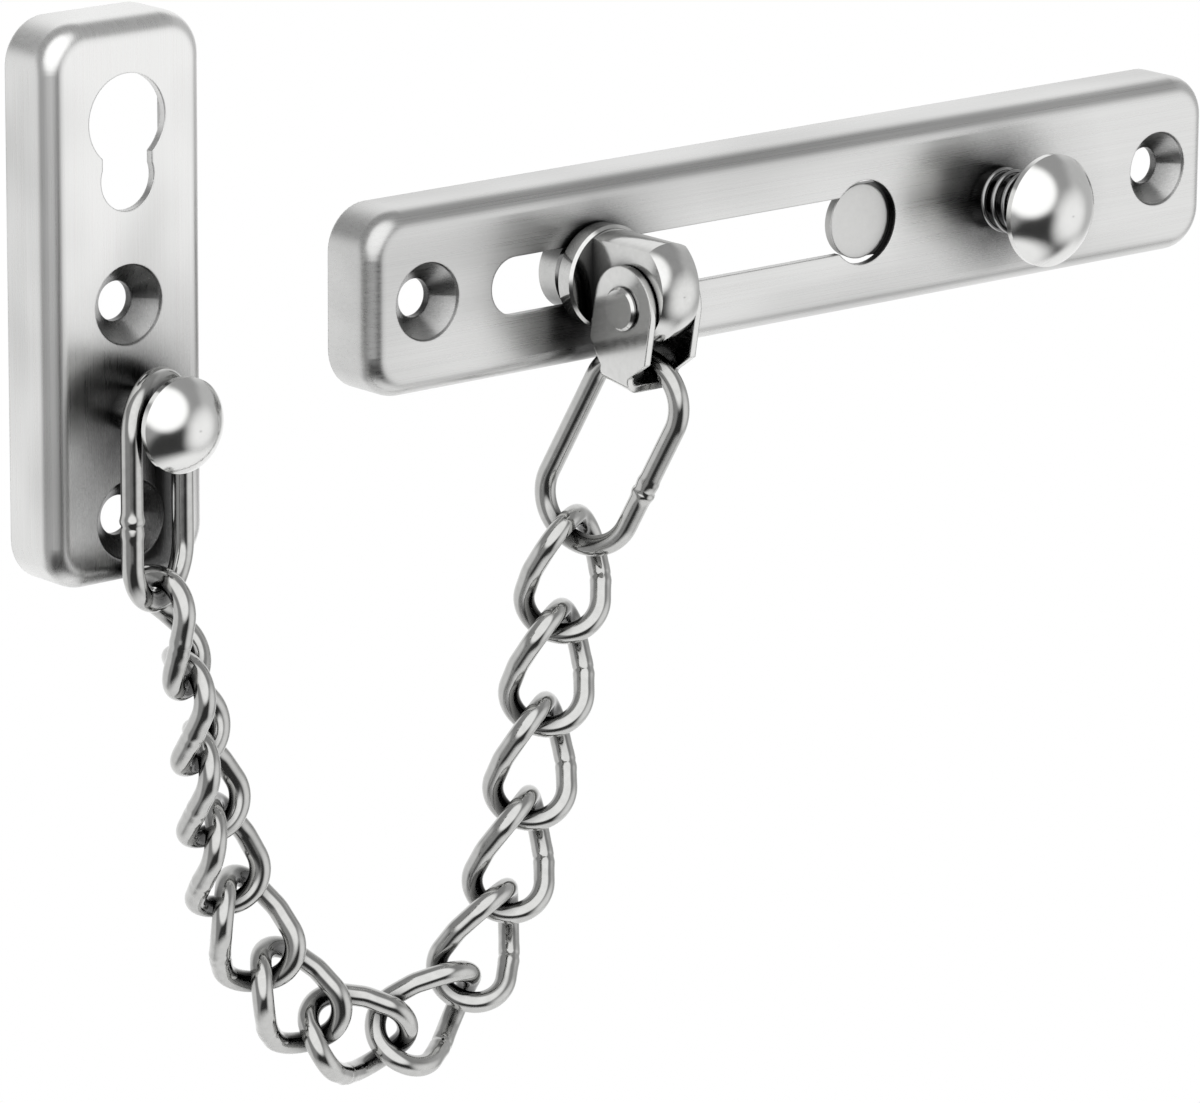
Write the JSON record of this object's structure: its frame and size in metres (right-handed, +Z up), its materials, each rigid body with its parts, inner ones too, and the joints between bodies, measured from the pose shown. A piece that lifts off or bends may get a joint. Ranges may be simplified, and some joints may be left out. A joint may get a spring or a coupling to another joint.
{
  "type": "door chain",
  "caption": "Door chain with a slotted track plate, a sprung release knob, a sliding stud with a strap, twisted links and an anchor plate with a keyhole and a stud.",
  "frame": {"origin": "midway between the track plate's screw holes, on the plates' back plane", "axes": "+X along the track plate towards the release knob, +Z up, +Y into the door, plate fronts facing -Y"},
  "size_m": [0.2205, 0.0288, 0.1619],
  "materials": {
    "plate_steel": "brushed",
    "bright_steel": "polished",
    "plain_steel": "satin",
    "matt_steel": "matt",
    "spring_steel": "bright"
  },
  "bodies": {
    "plates": {"track_plate": "plate_steel", "anchor_plate": "plate_steel", "anchor_stud": "bright_steel", "release_spring": "spring_steel"},
    "slider": {"slider": "bright_steel", "strap_pin": "bright_steel"},
    "strap": {"strap": "bright_steel"},
    "long_link_track": {"long_link_track": "bright_steel"},
    "link_01": {"link_01": "bright_steel"},
    "link_02": {"link_02": "bright_steel"},
    "link_03": {"link_03": "bright_steel"},
    "link_04": {"link_04": "bright_steel"},
    "link_05": {"link_05": "bright_steel"},
    "link_06": {"link_06": "bright_steel"},
    "link_07": {"link_07": "bright_steel"},
    "link_08": {"link_08": "bright_steel"},
    "link_09": {"link_09": "bright_steel"},
    "link_10": {"link_10": "bright_steel"},
    "link_11": {"link_11": "bright_steel"},
    "link_12": {"link_12": "bright_steel"},
    "link_13": {"link_13": "bright_steel"},
    "long_link_anchor": {"long_link_anchor": "bright_steel"},
    "release": {"release_knob": "bright_steel", "release_strip": "plain_steel", "entry_button": "matt_steel"}
  },
  "joints": [
    {"name": "slider_slide", "type": "slide", "parent": "plates", "child": "slider", "axis": [1, 0, 0], "range_m": [-0.0146, 0.0395]},
    {"name": "strap_swing", "type": "hinge", "parent": "slider", "child": "strap", "pos_m": [-0.0408, -0.0209, -0.00275], "axis": [1, 0, 0], "range_deg": [-2, 2]},
    {"name": "long_link_track_swing", "type": "hinge", "parent": "strap", "child": "long_link_track", "pos_m": [-0.0408, -0.01826, -0.01772], "axis": [1, 0, 0], "range_deg": [-3.56, 3.56]},
    {"name": "link_01_swing", "type": "hinge", "parent": "long_link_track", "child": "link_01", "pos_m": [-0.0439, -0.0086, -0.03752], "axis": [1, 0, 0], "range_deg": [-1.56, 1.56]},
    {"name": "link_02_turn", "type": "hinge", "parent": "link_01", "child": "link_02", "pos_m": [-0.04651, -0.00836, -0.05117], "axis": [0, -1, 0], "range_deg": [-17.92, 6.66]},
    {"name": "link_03_turn", "type": "hinge", "parent": "link_02", "child": "link_03", "pos_m": [-0.04921, -0.00811, -0.06481], "axis": [0, -1, 0], "range_deg": [-5.49, 2.06]},
    {"name": "link_04_turn", "type": "hinge", "parent": "link_03", "child": "link_04", "pos_m": [-0.05225, -0.00802, -0.07837], "axis": [0, -1, 0], "range_deg": [-4, 1.51]},
    {"name": "link_05_turn", "type": "hinge", "parent": "link_04", "child": "link_05", "pos_m": [-0.05638, -0.00775, -0.09164], "axis": [0, -1, 0], "range_deg": [-4.68, 12.57]},
    {"name": "link_06_turn", "type": "hinge", "parent": "link_05", "child": "link_06", "pos_m": [-0.06364, -0.00711, -0.1035], "axis": [0, -1, 0], "range_deg": [-4.79, 12.86]},
    {"name": "link_07_turn", "type": "hinge", "parent": "link_06", "child": "link_07", "pos_m": [-0.07618, -0.00625, -0.10949], "axis": [0, -1, 0], "range_deg": [-2.32, 6.2]},
    {"name": "link_08_turn", "type": "hinge", "parent": "link_07", "child": "link_08", "pos_m": [-0.0893, -0.00566, -0.1049], "axis": [0, -1, 0], "range_deg": [-0.78, 2.02]},
    {"name": "link_09_turn", "type": "hinge", "parent": "link_08", "child": "link_09", "pos_m": [-0.0982, -0.00541, -0.09421], "axis": [0, -1, 0], "range_deg": [-0.78, 2.02]},
    {"name": "link_10_turn", "type": "hinge", "parent": "link_09", "child": "link_10", "pos_m": [-0.1045, -0.00533, -0.08182], "axis": [0, -1, 0], "range_deg": [-0.78, 2.02]},
    {"name": "link_11_turn", "type": "hinge", "parent": "link_10", "child": "link_11", "pos_m": [-0.10973, -0.00871, -0.0694], "axis": [0, -1, 0], "range_deg": [-0.78, 2.02]},
    {"name": "link_12_turn", "type": "hinge", "parent": "link_11", "child": "link_12", "pos_m": [-0.1147, -0.0121, -0.05687], "axis": [0, -1, 0], "range_deg": [-0.78, 2.02]},
    {"name": "link_13_turn", "type": "hinge", "parent": "link_12", "child": "link_13", "pos_m": [-0.11958, -0.0155, -0.04431], "axis": [0, -1, 0], "range_deg": [-0.78, 2.02]},
    {"name": "long_link_anchor_turn", "type": "hinge", "parent": "link_13", "child": "long_link_anchor", "pos_m": [-0.1246, -0.0155, -0.03135], "axis": [0, -1, 0], "range_deg": [-0.78, 2.02]},
    {"name": "release_press", "type": "slide", "parent": "plates", "child": "release", "axis": [0, 1, 0], "range_m": [0, 0.0035], "stiffness_N_per_m": 500, "springref_m": -0.004, "deforming": ["release_spring"]}
  ],
  "couplings": [
    {"joint": "long_link_track_swing", "follows": "strap_swing", "ratio": -1.7563},
    {"joint": "link_01_swing", "follows": "strap_swing", "ratio": 0.7563},
    {"joint": "link_02_turn", "follows": "slider_slide", "rad_per_m": -7.8972},
    {"joint": "link_03_turn", "follows": "slider_slide", "rad_per_m": -2.4041},
    {"joint": "link_04_turn", "follows": "slider_slide", "rad_per_m": -1.7453},
    {"joint": "link_05_turn", "follows": "slider_slide", "rad_per_m": 5.5304},
    {"joint": "link_06_turn", "follows": "slider_slide", "rad_per_m": 5.6616},
    {"joint": "link_07_turn", "follows": "slider_slide", "rad_per_m": 2.7151},
    {"joint": "link_08_turn", "follows": "slider_slide", "rad_per_m": 0.87266},
    {"joint": "link_09_turn", "follows": "slider_slide", "rad_per_m": 0.87266},
    {"joint": "link_10_turn", "follows": "slider_slide", "rad_per_m": 0.87266},
    {"joint": "link_11_turn", "follows": "slider_slide", "rad_per_m": 0.87266},
    {"joint": "link_12_turn", "follows": "slider_slide", "rad_per_m": 0.87266},
    {"joint": "link_13_turn", "follows": "slider_slide", "rad_per_m": 0.87266},
    {"joint": "long_link_anchor_turn", "follows": "slider_slide", "rad_per_m": 0.87266}
  ]
}
